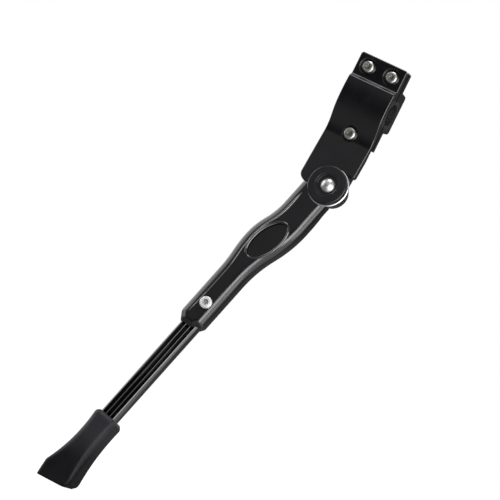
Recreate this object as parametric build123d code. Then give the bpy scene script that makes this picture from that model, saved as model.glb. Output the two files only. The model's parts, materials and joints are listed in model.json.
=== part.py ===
from build123d import *
import math
import os

# Rear-mount bicycle kickstand, in millimetres and degrees.
# The origin is the middle of the chainstay clamp, +X runs along the chainstay
# to the rear, -Y points away from the bicycle and +Z is up.

# Overall sizes
SOLE_DROP = 333.0          # chainstay axis down to the sole
HINGE_DROP = 64.4          # chainstay axis down to the hinge axis
HINGE_ASIDE = 5.6          # hinge axis behind the middle of the clamp
CANT = 10.0                # the hinge plane leans outward by this angle
LEG_TILT = 12.8            # the leg leans forward by this angle, within the hinge plane
FOLD_RISE = 8.0            # the folded leg points up by this angle
FOLD = 90.0 + LEG_TILT + FOLD_RISE

# Chainstay clamp
TUBE_D = 16.0              # chainstay tube that the clamp holds
TUBE_PLAY = 0.05           # liner to tube, radial
PAD_T = 1.2                # rubber liner, at its thinnest
PAD_SIDE = 2.4             # rubber above and below the tube
PAD_ROUND = 4.0            # outer corners of the liners
JAW_WALL = 3.2             # metal outside the liner
JAW_W = 37.5               # clamp length along the tube, and width of the plate
SPLIT_OUT = 3.0            # the clamp halves meet in front of the tube axis
SPLIT_GAP = 1.6            # gap between the two clamp halves
PLATE_T = 5.0              # plate of both clamp halves
FLANGE_TOP = 32.5          # top edge above the tube axis
CORNER_R = 2.0             # rounding of the flange corners
JAW_TOP = 13.5             # front jaw: upper edge of its curved face
LEDGE = 2.0                # height of the step from there to the flange
LEDGE_ROUND = 1.4
CROWN = 0.9                # the front face bulges by this much
WAVE_FLAT = 10.0           # lower edge of its curved face, below the tube axis
WAVE_END = 22.0            # end of the long slope from there to the plate
WAVE_DIP = 1.6             # the plate lies behind the flange by this much
WAVE_ROUND = 40.0
WAVE_FOOT_ROUND = 24.0
SADDLE_TOP = 16.8          # rear jaw: extent above and below the tube axis
SADDLE_LOW = 12.6
SADDLE_SLOPE = 1.2
SADDLE_ROUND = 2.5
EDGE_ROUND = 0.8           # outer edges of both clamp halves

# Clamp fasteners
BOLT_D = 5.0
BOLT_PLAY = 0.25           # bolt to hole, radial
BOLT_HEAD_D = 8.2
BOLT_HEAD_H = 3.4
BOLT_SOCKET = 4.0          # across the flats of the hexagon socket
BOLT_SOCKET_DEPTH = 2.4
BOLT_OUT = 24.0            # bolts above and below the tube axis
BOLT_SPREAD = 19.2         # between the two upper bolts
SEAT_D = 12.0              # counterbore round each head
SEAT_BEVEL = 0.5
SEAT_DEPTH = 2.6
WASHER_D = 10.0
WASHER_T = 1.0
NUT_FLATS = 8.0
NUT_H = 4.0
BOLT_TAIL = 1.2            # thread beyond the nut

# Bracket plate below the clamp
CANT_DROP = 28.0           # the plate starts to lean this far below the tube axis
TAB_DROP = 28.6            # lower edge of the rear jaw
HEEL_RISE = 13.0           # lower edge of the plate behind the hinge
PLATE_CORNER_R = 6.0       # rounding of the stop corner in front of the hinge
HEEL_CORNER_R = 2.0
BEND_ROUND = 12.0          # bend where the plate starts to lean
STOP_GAP = 0.5             # leg to stop face at either end of its swing
RIB_W = 16.0               # rib behind the plate, down to the lug
RIB_TOP = 33.0             # start of the rib above the hinge axis
RIB_RUN = 16.0             # height over which the rib reaches its full depth

# Hinge stack along the hinge axis, from the front face of the plate
HUB_R = 13.0
HUB_PLAY = 0.6             # hub to the plate round it
HUB_PROUD = 0.5            # hub and leg stand in front of the plate
HUB_T = 9.4
HUB_ROUND = 2.4            # back edge of the hub
THRUST_T = 0.5
LUG_T = 5.0
LUG_R = 11.2
CAP_R = 14.3
CAP_T = 5.0
CAP_GAP = 0.3              # cap to hub
CAP_SEAT_R = 7.2           # counterbore for the bolt head
CAP_SEAT_DEPTH = 2.0
CAP_RING_R = 8.6           # turned ring round the counterbore
CAP_RING_DEPTH = 0.5
CAP_RING_BEVEL = 0.4
CAP_ROUND = 1.2
PIVOT_D = 8.0
PIVOT_PLAY = 0.05          # pivot bolt in its holes, radial
PIVOT_HEAD_R = 5.6
PIVOT_HEAD_H = 3.0
PIVOT_TAIL = 1.5
COLLAR_R = 5.5
COLLAR_PLAY = 0.05         # hub bore on the collar, radial
PIVOT_WASHER_R = 8.0
PIVOT_WASHER_T = 1.4
PIVOT_NUT_FLATS = 13.0
PIVOT_NUT_H = 6.5
PIVOT_NUT_DOME = 1.6       # rounded locking ring of the nut

# Click stop in the neck of the leg
BALL_D = 6.0
BALL_PLAY = 0.1            # ball to bore, radial
BALL_LIFT = 0.05           # ball clear of the collar between the notches
NOTCH_DEPTH = 0.6
SPRING_WIRE = 0.9
SPRING_D = 5.6
SPRING_TURNS = 3
SPRING_LENGTH = 14.0
SPRING_SLACK = 0.15        # spring to ball and to the end of its bore

# Upper leg, across and down the leg axis from the hinge
LEG_T = 15.2               # full thickness of the leg
NECK_T = 10.2              # thickness beside the lug
NECK_LEFT = 19.2           # neck edge in front of the hinge
NECK_RIGHT = 7.4           # neck edge behind the hinge
SHOULDER_DROP = 7.5        # stop face of the neck, below the hinge axis
NECK_END_LEFT = 27.0       # the front edge starts its bend here
NECK_END_RIGHT = 34.0      # the rear edge starts its bend here
BELLY_LEFT = 25.3          # furthest forward point of the front edge
BELLY_DROP = 62.0
AXIS_OFFSET = 10.9         # lower leg axis in front of the hinge
SHANK_OFFSET = 12.6        # middle of the straight end in front of the hinge
SHANK_W = 20.8             # width of the straight end
SHANK_START = 92.0         # the straight end starts here
LEG_LENGTH = 139.0         # hinge axis to the tip of the upper leg
TIP_CUT_X = 5.0            # corner cuts of the tip
TIP_CUT_S = 7.0
FRONT_ROUND = 6.2          # rounding of the front edges
BACK_ROUND = 4.5
TAPER_START = 18.0         # the back slopes from neck to full thickness
TAPER_END = 44.0
TIP_ROUND = 4.0            # corners of the tip
RIDGE_INSET = 6.4          # fine ridge along the front face, in from its forward edge
RIDGE_W = 0.9
RIDGE_H = 0.4
RIDGE_START = 15.0
RIDGE_END = 112.0
OVAL_LONG = 17.0           # half axes of the oval recess
OVAL_SHORT = 8.4
OVAL_RIM = 1.3             # raised rim of the oval
OVAL_RIM_H = 0.45
BEAD_BEVEL = 0.3           # edges of ridge and rim
OVAL_DEPTH = 0.9
OVAL_LEAN = 12.0           # lean of the oval from the leg axis
OVAL_DROP = 56.5
OVAL_X = -7.8

# Height adjustment
BAR_W = 14.0               # section of the lower leg
BAR_T = 10.5
BAR_ROUND = 4.0
BAR_PLAY = 0.25            # bar to socket, all round
BAR_IN = 45.0              # length of bar in the socket
SOCKET_DEPTH = 62.0
GROOVE_W = 2.7
GROOVE_DEPTH = 1.2
GROOVE_PITCH = 3.6
RIDGE_BREAK = 0.25         # chamfer on the edges of the grooves
GROOVE_COUNT = 3
SCREW_RISE = 21.5          # adjusting screw above the tip of the upper leg
SCREW_D = 5.0
SCREW_HEAD_D = 8.8
SCREW_HEAD_H = 2.6
SCREW_SEAT_D = 10.4        # spot face round the head
SCREW_SEAT_DEPTH = 0.6
SCREW_SOCKET = 4.0
SCREW_SOCKET_DEPTH = 1.6
SCREW_PLAY = 0.15          # screw to leg, radial
SCREW_POINT_D = 1.8        # point that reaches into the middle groove
SCREW_POINT_GAP = 0.3

# Rubber foot, heights along the leg axis above the ground
FOOT_LENGTH = 58.0
FOOT_TOP_W = 20.6
FOOT_TOP_T = 18.6
FOOT_TOP_SHIFT = 0.8       # middle of the upper end behind the leg axis
FOOT_WAIST = 27.0          # narrowest place
FOOT_WAIST_W = 20.8
FOOT_WAIST_T = 19.8
FOOT_WAIST_SHIFT = 1.6
FOOT_TIP = 8.5             # upper corner of the toe
FOOT_TIP_W = 25.8
FOOT_TIP_T = 20.6
FOOT_TIP_SHIFT = 1.4
FOOT_LOW_W = 24.6          # continued below the ground by as much
FOOT_LOW_SHIFT = 3.6
FOOT_ROUND = 5.5
SOLE_ROUND = 2.5           # corners of the sole
FOOT_LIP = 2.4             # rounding of the upper edge
HEEL_OUT = 14.7            # heel behind the leg axis on the ground
HEEL_ROUND = 6.0           # rounding of the heel
SOLE_UNDER = 12.0          # rubber below the end of the bar
TREAD_W = 2.2
TREAD_DEPTH = 1.6
TREAD_PITCH = 6.5
TREAD_END = 3.0            # the grooves stop this far from the sides
TREAD_COUNT = 3

# Derived sizes
JAW_BORE_R = TUBE_D / 2 + TUBE_PLAY + PAD_T
JAW_OUT = JAW_BORE_R + JAW_WALL
PAD_RISE = TUBE_D / 2 + PAD_SIDE
SPLIT_FRONT = SPLIT_OUT + SPLIT_GAP / 2
SPLIT_REAR = SPLIT_OUT - SPLIT_GAP / 2
FACE_FRONT = SPLIT_FRONT + PLATE_T
FACE_REAR = PLATE_T - SPLIT_REAR
FACE_LOW = FACE_FRONT - WAVE_DIP
BOLT_SEAT = SEAT_DEPTH - FACE_FRONT
CANT_SLOPE = math.tan(math.radians(CANT))
HINGE_OUT = FACE_LOW + (HINGE_DROP - CANT_DROP) * CANT_SLOPE
HUB_FRONT = -HUB_PROUD
HUB_BACK = HUB_FRONT + HUB_T
LUG_FRONT = HUB_BACK + THRUST_T
LUG_BACK = LUG_FRONT + LUG_T
CAP_BACK = HUB_FRONT - CAP_GAP
CAP_FRONT = CAP_BACK - CAP_T
CAP_SEAT = CAP_FRONT + CAP_SEAT_DEPTH
PIVOT_HOLE_R = PIVOT_D / 2 + PIVOT_PLAY
NUT_FACE = LUG_BACK + PIVOT_WASHER_T
BALL_Y = (HUB_FRONT + HUB_BACK) / 2
BALL_OUT = COLLAR_R + BALL_LIFT + BALL_D / 2
BALL_BORE_R = BALL_D / 2 + BALL_PLAY
SPRING_START = BALL_OUT + BALL_D / 2 + SPRING_SLACK
SPRING_BORE_END = SPRING_START + SPRING_LENGTH + SPRING_SLACK
LEG_BACK = HUB_FRONT + LEG_T
BAR_Y = (HUB_FRONT + LEG_BACK) / 2
SCREW_DROP = LEG_LENGTH - SCREW_RISE
SCREW_SEAT = HUB_FRONT + SCREW_SEAT_DEPTH
GROOVE_FLOOR = BAR_Y - BAR_T / 2 + GROOVE_DEPTH
BAR_TOP = LEG_LENGTH - BAR_IN
FOLD_STEPS = (0.5, 1)      # parts of the swing at which the neck passes the plate
ROUND_SHARE = 0.95         # a rounding takes at most this share of its flat
WIDE = 200.0               # larger than any section that it trims

# Frames: the hinge plane, and the leg within it
HINGE = Location((HINGE_ASIDE, -HINGE_OUT, -HINGE_DROP), (-CANT, 0, 0))
LEG = HINGE * Location((0, 0, 0), (0, LEG_TILT, 0))
AXIS_START = (LEG * Pos(-AXIS_OFFSET, BAR_Y, 0)).position
AXIS_FALL = math.cos(math.radians(LEG_TILT)) * math.cos(math.radians(CANT))
AXIS_TO_SOLE = (SOLE_DROP + AXIS_START.Z) / AXIS_FALL
BAR_BOTTOM = AXIS_TO_SOLE - SOLE_UNDER / AXIS_FALL
FOOT_TOP = AXIS_TO_SOLE - FOOT_LENGTH


def slab(sketch, y_near, y_far):
    """A sketch drawn as (x, z), given depth from y_near to y_far."""
    return extrude(Plane.XZ.offset(-y_far) * sketch, amount=y_far - y_near)


def rod(radius, y_near, y_far):
    """A round bar along Y."""
    return slab(Circle(radius), y_near, y_far)


def across(sketch, width):
    """A sketch drawn as (y, z), given width along X about the middle."""
    return extrude(Plane.YZ * sketch, amount=width / 2, both=True)


def bevel(radius, face, size):
    """Countersink of a round hole in a face at y, opening towards -Y."""
    deep = Plane.XZ.offset(-face - size) * Circle(radius)
    return extrude(deep, amount=size, taper=-45)


def hexagon(flats):
    return RegularPolygon(flats / 2, 6, major_radius=False)


def clamp_places():
    """Bolt places as (x, z): two above the tube and one below it."""
    return [(-BOLT_SPREAD / 2, BOLT_OUT), (BOLT_SPREAD / 2, BOLT_OUT), (0, -BOLT_OUT)]


def round_corners(face, corners):
    """Rounds named corners of a flat face; each entry is a point and a radius."""
    for (x, y), radius in corners:
        nearest = face.vertices().sort_by_distance((x, y, 0))[0]
        face = fillet(nearest, radius)
    return face


def front_section():
    """Section of the front jaw and leaning plate as (y, z), with y away from the bicycle."""
    reach = HINGE_DROP + HUB_R
    plate_end = FACE_LOW + (reach - CANT_DROP) * CANT_SLOPE
    depth = PLATE_T / math.cos(math.radians(CANT))
    inner_bend = CANT_DROP + (SPLIT_FRONT - FACE_LOW + depth) / CANT_SLOPE
    crown_edge = JAW_OUT - CROWN
    slope = math.atan2(crown_edge - FACE_LOW, WAVE_END - WAVE_FLAT)
    bend_run = BEND_ROUND * math.tan(math.radians(CANT) / 2)
    foot_run = (CANT_DROP - WAVE_END - bend_run) * ROUND_SHARE
    ledge_foot = (FACE_FRONT, JAW_TOP + LEDGE)
    crown_top = (crown_edge, JAW_TOP)
    crown_low = (crown_edge, -WAVE_FLAT)
    wave_foot = (FACE_LOW, -WAVE_END)
    bend = (FACE_LOW, -CANT_DROP)
    section = make_face([
        Polyline((FACE_FRONT, FLANGE_TOP), ledge_foot, crown_top),
        ThreePointArc(crown_top, (JAW_OUT, (JAW_TOP - WAVE_FLAT) / 2), crown_low),
        Polyline(
            crown_low,
            wave_foot,
            bend,
            (plate_end, -reach),
            (plate_end - depth, -reach),
            (SPLIT_FRONT, -inner_bend),
            (SPLIT_FRONT, FLANGE_TOP),
            (FACE_FRONT, FLANGE_TOP),
        ),
    ])
    return round_corners(section, [
        (ledge_foot, LEDGE_ROUND),
        (crown_top, LEDGE_ROUND),
        (crown_low, WAVE_ROUND),
        (wave_foot, min(WAVE_FOOT_ROUND, foot_run / math.tan(slope / 2))),
        (bend, BEND_ROUND),
    ])


def rear_section():
    """Section of the rear jaw as (y, z), with y towards the bicycle."""
    top = (FACE_REAR, SADDLE_TOP + SADDLE_SLOPE)
    top_out = (JAW_OUT, SADDLE_TOP)
    low_out = (JAW_OUT, -SADDLE_LOW)
    low = (FACE_REAR, -SADDLE_LOW - SADDLE_SLOPE)
    section = make_face(Polyline(
        (FACE_REAR, FLANGE_TOP),
        top,
        top_out,
        low_out,
        low,
        (FACE_REAR, -TAB_DROP),
        (-SPLIT_REAR, -TAB_DROP),
        (-SPLIT_REAR, FLANGE_TOP),
        close=True,
    ))
    return round_corners(section, [(top_out, SADDLE_ROUND), (low_out, SADDLE_ROUND)])


def clamp_outline(drop):
    """Front view of a clamp half as (x, z), down to the drop below the tube."""
    outline = Pos(0, (FLANGE_TOP - drop) / 2) * Rectangle(JAW_W, FLANGE_TOP + drop)
    corners = outline.vertices().group_by(Axis.Y)[-1]
    return fillet(corners, CORNER_R)


def liner_space(side):
    """Section of a liner with its tube filled in, as (y, z); side is -1 for the front."""
    start = -SPLIT_REAR if side > 0 else SPLIT_FRONT
    block = make_face(Polyline(
        (start, PAD_RISE),
        (JAW_BORE_R, PAD_RISE),
        (JAW_BORE_R, -PAD_RISE),
        (start, -PAD_RISE),
        close=True,
    ))
    block = fillet(block.vertices().group_by(Axis.X)[-1], PAD_ROUND)
    return block if side > 0 else mirror(block, about=Plane.YZ)


def bolt_holes():
    hole = rod(BOLT_D / 2 + BOLT_PLAY, -WIDE, WIDE)
    return [Pos(x, 0, z) * hole for x, z in clamp_places()]


def bolt_seats():
    """Counterbores of the clamp screws, with a bevelled rim on the face round each."""
    seats = []
    for x, z in clamp_places():
        face = FACE_FRONT if z > 0 else FACE_LOW
        seat = rod(SEAT_D / 2, -WIDE, BOLT_SEAT) + bevel(SEAT_D / 2, -face, SEAT_BEVEL)
        seats.append(Pos(x, 0, z) * seat)
    return seats


def neck_strip(gap):
    """The straight neck as a flat strip with a gap all round."""
    left = -NECK_LEFT - gap
    right = NECK_RIGHT + gap
    top = -SHOULDER_DROP + gap
    return make_face(Polyline((left, top), (left, -WIDE), (right, -WIDE), (right, top), close=True))


def swing_room():
    """Space that hub and neck sweep in the hinge frame, stop gaps included."""
    room = rod(HUB_R + HUB_PLAY, -WIDE, LUG_FRONT)
    strip = slab(neck_strip(STOP_GAP), -WIDE, WIDE)
    for share in FOLD_STEPS:
        room += Rot(0, LEG_TILT - share * FOLD, 0) * strip
    return room


def bracket_lug():
    """Rib and lug behind the plate, in the hinge frame."""
    rib_side = make_face(Polyline(
        (PLATE_T / 2, RIB_TOP),
        (LUG_BACK, RIB_TOP - RIB_RUN),
        (LUG_BACK, 0),
        (PLATE_T / 2, 0),
        close=True,
    ))
    return across(rib_side, RIB_W) + rod(LUG_R, LUG_FRONT, LUG_BACK)


def bracket_arm():
    """Front jaw and leaning plate, before anything is cut from it."""
    section = mirror(front_section(), about=Plane.YZ)
    return across(section, WIDE) & slab(clamp_outline(HINGE_DROP + HUB_R), -WIDE, WIDE)


def plate_outline():
    """Lower end of the plate as (x, z) in the hinge frame: stop edge, hub side and heel."""
    left = -JAW_W / 2 - HINGE_ASIDE
    right = JAW_W / 2 - HINGE_ASIDE
    tilt = math.radians(LEG_TILT)
    stop = (STOP_GAP - SHOULDER_DROP) / math.cos(tilt)
    stop_corner = (left, stop - left * math.tan(tilt))
    heel_corner = (right, HEEL_RISE)
    outline = make_face(Polyline(
        (left, WIDE),
        stop_corner,
        (0, stop),
        (0, HEEL_RISE),
        heel_corner,
        (right, WIDE),
        close=True,
    ))
    return round_corners(outline, [
        (stop_corner, PLATE_CORNER_R),
        ((0, stop), HUB_R / 4),
        ((0, HEEL_RISE), HUB_R / 4),
        (heel_corner, HEEL_CORNER_R),
    ])


def soften(plate, outward):
    """Rounds the edge round the outer face of a clamp half; outward is its Y direction."""
    edges = []
    for face in plate.faces():
        if face.normal_at().Y * outward > 0.5:
            edges += face.edges()
    rim = [edge for edge in edges if sum(edge.is_same(other) for other in edges) == 1]
    return fillet(rim, EDGE_ROUND)


def make_bracket():
    """Shaped in the hinge frame, where the plate is upright and the hinge is the origin."""
    arm = HINGE.inverse() * bracket_arm()
    arm &= slab(plate_outline(), -WIDE, WIDE)
    arm = soften(arm, -1)
    arm += bracket_lug()
    arm -= swing_room() - rod(LUG_R, LUG_FRONT, LUG_BACK)
    arm -= rod(PIVOT_HOLE_R, -WIDE, WIDE)
    arm = HINGE * arm
    arm -= across(liner_space(-1), WIDE)
    arm -= bolt_holes()
    return arm - bolt_seats()


def make_clamp_plate():
    plate = across(rear_section(), WIDE) & slab(clamp_outline(TAB_DROP), -WIDE, WIDE)
    plate = soften(plate, 1)
    plate -= across(liner_space(1), WIDE)
    return plate - bolt_holes()


def make_pad(side):
    """Rubber liner of one jaw; side is -1 for the front and 1 for the rear."""
    return across(liner_space(side) - Circle(TUBE_D / 2 + TUBE_PLAY), JAW_W)


def make_clamp_bolts():
    top = BOLT_SEAT - BOLT_HEAD_H
    end = FACE_REAR + WASHER_T + NUT_H + BOLT_TAIL
    head = rod(BOLT_HEAD_D / 2, top, BOLT_SEAT)
    head = chamfer(head.edges().group_by(Axis.Y)[0], EDGE_ROUND)
    head -= slab(hexagon(BOLT_SOCKET), top, top + BOLT_SOCKET_DEPTH)
    bolt = head + rod(BOLT_D / 2, BOLT_SEAT, end)
    return [Pos(x, 0, z) * bolt for x, z in clamp_places()]


def make_clamp_washers():
    washer = rod(WASHER_D / 2, FACE_REAR, FACE_REAR + WASHER_T)
    washer -= rod(BOLT_D / 2 + BOLT_PLAY, FACE_REAR, FACE_REAR + WASHER_T)
    return [Pos(x, 0, z) * washer for x, z in clamp_places()]


def make_clamp_nuts():
    face = FACE_REAR + WASHER_T
    nut = slab(hexagon(NUT_FLATS) - Circle(BOLT_D / 2), face, face + NUT_H)
    return [Pos(x, 0, z) * nut for x, z in clamp_places()]


def make_hinge_cap():
    cap = rod(CAP_R, CAP_FRONT, CAP_BACK)
    cap = fillet(cap.edges().group_by(Axis.Y)[0], CAP_ROUND)
    cap -= rod(CAP_RING_R, CAP_FRONT, CAP_FRONT + CAP_RING_DEPTH)
    cap -= bevel(CAP_RING_R, CAP_FRONT, CAP_RING_BEVEL)
    cap -= bevel(CAP_SEAT_R, CAP_FRONT + CAP_RING_DEPTH, CAP_RING_BEVEL)
    cap -= rod(CAP_SEAT_R, CAP_FRONT, CAP_SEAT)
    return HINGE * (cap - rod(PIVOT_HOLE_R, CAP_FRONT, CAP_BACK))


def make_pivot_bolt():
    dome_r = (PIVOT_HEAD_R ** 2 + PIVOT_HEAD_H ** 2) / (2 * PIVOT_HEAD_H)
    dome = Pos(0, CAP_SEAT - PIVOT_HEAD_H + dome_r, 0) * Sphere(dome_r)
    head = dome & rod(PIVOT_HEAD_R, CAP_SEAT - PIVOT_HEAD_H, CAP_SEAT)
    end = NUT_FACE + PIVOT_NUT_H + PIVOT_NUT_DOME + PIVOT_TAIL
    return HINGE * (head + rod(PIVOT_D / 2, CAP_SEAT, end))


def make_cam_collar():
    collar = rod(COLLAR_R, CAP_BACK, LUG_FRONT) - rod(PIVOT_HOLE_R, CAP_BACK, LUG_FRONT)
    notch = Pos(0, 0, -(COLLAR_R - NOTCH_DEPTH + BALL_BORE_R)) * rod(BALL_BORE_R, CAP_BACK, LUG_FRONT)
    for swing in (0, FOLD):
        collar -= Rot(0, LEG_TILT - swing, 0) * notch
    return HINGE * collar


def make_thrust_washer():
    return HINGE * (rod(LUG_R, HUB_BACK, LUG_FRONT) - rod(COLLAR_R + COLLAR_PLAY, HUB_BACK, LUG_FRONT))


def make_pivot_washer():
    return HINGE * (rod(PIVOT_WASHER_R, LUG_BACK, NUT_FACE) - rod(PIVOT_HOLE_R, LUG_BACK, NUT_FACE))


def make_pivot_nut():
    end = NUT_FACE + PIVOT_NUT_H
    nut = slab(hexagon(PIVOT_NUT_FLATS), NUT_FACE, end)
    ring = rod(PIVOT_NUT_FLATS / 2 - EDGE_ROUND, end, end + PIVOT_NUT_DOME)
    ring = chamfer(ring.edges().group_by(Axis.Y)[-1], PIVOT_NUT_DOME / 2)
    return HINGE * (nut + ring - rod(PIVOT_D / 2, NUT_FACE, end + PIVOT_NUT_DOME))


def sway(start, end):
    """Two arcs that shift an upright edge sideways, upright again at the end."""
    middle = ((start[0] + end[0]) / 2, (start[1] + end[1]) / 2)
    first = TangentArc(start, middle, tangent=(0, math.copysign(1, end[1] - start[1])))
    return [first, TangentArc(middle, end, tangent=first % 1)]


def forward_edge(inset, start, end):
    """Edges along the forward side of the leg, drawn in by the inset."""
    neck = (-NECK_LEFT + inset, -NECK_END_LEFT)
    belly = (-BELLY_LEFT + inset, -BELLY_DROP)
    shank = (-SHANK_OFFSET - SHANK_W / 2 + inset, -SHANK_START)
    return [
        Line((neck[0], -start), neck),
        *sway(neck, belly),
        *sway(belly, shank),
        Line(shank, (shank[0], -end)),
    ]


def leg_outline():
    """Front view of the leg as (x, z)."""
    left = -SHANK_OFFSET - SHANK_W / 2
    right = -SHANK_OFFSET + SHANK_W / 2
    tip_start = LEG_LENGTH - TIP_CUT_S
    shank_right = (right, -SHANK_START)
    neck_right = (NECK_RIGHT, -NECK_END_RIGHT)
    outline = make_face([
        *forward_edge(0, SHOULDER_DROP, tip_start),
        Polyline(
            (left, -tip_start),
            (left + TIP_CUT_X, -LEG_LENGTH),
            (right - TIP_CUT_X, -LEG_LENGTH),
            (right, -tip_start),
            shank_right,
        ),
        *sway(shank_right, neck_right),
        Polyline(neck_right, (NECK_RIGHT, -SHOULDER_DROP), (-NECK_LEFT, -SHOULDER_DROP)),
    ])
    tip = outline.vertices().filter_by_position(Axis.Y, -LEG_LENGTH, -tip_start)
    return fillet(tip, TIP_ROUND)


def bar_section(grow):
    """Section of the lower leg as (x, y), larger by grow all round."""
    return RectangleRounded(BAR_W + 2 * grow, BAR_T + 2 * grow, BAR_ROUND + grow)


def bar_stock(grow, top, bottom):
    """A length of that section down the leg axis."""
    return Pos(-AXIS_OFFSET, BAR_Y, -bottom) * extrude(bar_section(grow), amount=bottom - top)


def oval(grow):
    return Pos(OVAL_X, -OVAL_DROP) * Rot(0, 0, 90 - OVAL_LEAN) * Ellipse(OVAL_LONG + grow, OVAL_SHORT + grow)


def front_ridge():
    """Fine ridge that follows the forward edge of the leg, as (x, z)."""
    outer = forward_edge(RIDGE_INSET, RIDGE_START, RIDGE_END)
    inner = forward_edge(RIDGE_INSET + RIDGE_W, RIDGE_START, RIDGE_END)
    ends = [Line(outer[0] @ 0, inner[0] @ 0), Line(outer[-1] @ 1, inner[-1] @ 1)]
    return make_face([*outer, *inner, *ends])


def bead(sketch, height):
    """Bevelled line that stands proud of the front face."""
    line = slab(sketch, HUB_FRONT - height, HUB_FRONT + height)
    return chamfer(line.edges().group_by(Axis.Y)[0], BEAD_BEVEL)


def leg_blade():
    """Leg without its hub: rounded edges, tapered back, ridge and oval."""
    blade = slab(leg_outline(), HUB_FRONT, LEG_BACK)
    back_taper = make_face(Polyline(
        (HUB_FRONT + NECK_T, WIDE),
        (HUB_FRONT + NECK_T, -TAPER_START),
        (LEG_BACK, -TAPER_END),
        (WIDE, -TAPER_END),
        (WIDE, WIDE),
        close=True,
    ))
    front = blade.edges().group_by(Axis.Y)[0].sort_by(Axis.Z)[:-1]
    blade = fillet(front, FRONT_ROUND)
    back = blade.edges().group_by(Axis.Y)[-1].sort_by(Axis.Z)[:-1]
    blade = fillet(back, BACK_ROUND)
    blade -= across(back_taper, WIDE)
    blade += bead(front_ridge(), RIDGE_H)
    blade -= slab(oval(0), HUB_FRONT, HUB_FRONT + OVAL_DEPTH)
    return blade + bead(oval(OVAL_RIM) - oval(0), OVAL_RIM_H)


def make_upper_leg():
    hub = rod(HUB_R, HUB_FRONT, HUB_BACK)
    leg = leg_blade() + fillet(hub.edges().group_by(Axis.Y)[-1], HUB_ROUND)
    leg -= rod(max(HUB_R, LUG_R + STOP_GAP), HUB_BACK, WIDE)
    leg -= rod(COLLAR_R + COLLAR_PLAY, -WIDE, WIDE)
    leg -= Pos(0, BALL_Y, -SPRING_BORE_END) * Cylinder(
        BALL_BORE_R, SPRING_BORE_END, align=(Align.CENTER, Align.CENTER, Align.MIN))
    leg -= bar_stock(BAR_PLAY, LEG_LENGTH - SOCKET_DEPTH, LEG_LENGTH + 1)
    leg -= Pos(-AXIS_OFFSET, 0, -SCREW_DROP) * rod(SCREW_SEAT_D / 2, -WIDE, SCREW_SEAT)
    leg -= Pos(-AXIS_OFFSET, 0, -SCREW_DROP) * rod(SCREW_D / 2 + SCREW_PLAY, HUB_FRONT, BAR_Y)
    return LEG * leg


def make_detent_ball():
    return LEG * Pos(0, BALL_Y, -BALL_OUT) * Sphere(BALL_D / 2)


def make_detent_spring():
    coil_r = (SPRING_D - SPRING_WIRE) / 2
    height = SPRING_LENGTH - SPRING_WIRE
    path = Helix(height / SPRING_TURNS, height, coil_r)
    profile = (path ^ 0) * Circle(SPRING_WIRE / 2)
    coil = sweep(profile, path, is_frenet=True)
    return LEG * Pos(0, BALL_Y, -SPRING_START - SPRING_LENGTH + SPRING_WIRE / 2) * coil


def make_adjusting_screw():
    head = rod(SCREW_HEAD_D / 2, SCREW_SEAT - SCREW_HEAD_H, SCREW_SEAT)
    head = chamfer(head.edges().group_by(Axis.Y)[0], SCREW_HEAD_H / 3)
    top = SCREW_SEAT - SCREW_HEAD_H
    head -= slab(hexagon(SCREW_SOCKET), top, top + SCREW_SOCKET_DEPTH)
    shank_end = BAR_Y - BAR_T / 2 - BAR_PLAY
    screw = head + rod(SCREW_D / 2, SCREW_SEAT, shank_end)
    screw += rod(SCREW_POINT_D / 2, shank_end, GROOVE_FLOOR - SCREW_POINT_GAP)
    return LEG * Pos(-AXIS_OFFSET, 0, -SCREW_DROP) * screw


def make_lower_leg():
    bar = bar_stock(0, BAR_TOP, BAR_BOTTOM)
    first = -(GROOVE_COUNT - 1) / 2
    for index in range(GROOVE_COUNT):
        x = -AXIS_OFFSET + (first + index) * GROOVE_PITCH
        groove = Box(GROOVE_W, 2 * GROOVE_DEPTH, WIDE * 3)
        bar -= Pos(x, GROOVE_FLOOR - GROOVE_DEPTH, 0) * groove
    front = bar.edges().filter_by(Axis.Z).group_by(Axis.Y)[0]
    return LEG * chamfer(front, RIDGE_BREAK)


def foot_section(rise, shift, width, depth, corner):
    """Rounded section of the foot across the leg axis, at a height above the ground."""
    place = LEG * Pos(-AXIS_OFFSET + shift, BAR_Y, rise - AXIS_TO_SOLE)
    return place * RectangleRounded(width, depth, corner)


def ground_profile():
    """Side view of the space above the ground as (x, z), rounded at the heel."""
    heel = (HEEL_OUT, 0)
    back = HEEL_OUT + WIDE * math.tan(math.radians(LEG_TILT))
    space = make_face(Polyline((-WIDE, 0), heel, (back, WIDE), (-WIDE, WIDE), close=True))
    return round_corners(space, [(heel, HEEL_ROUND)])


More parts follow.
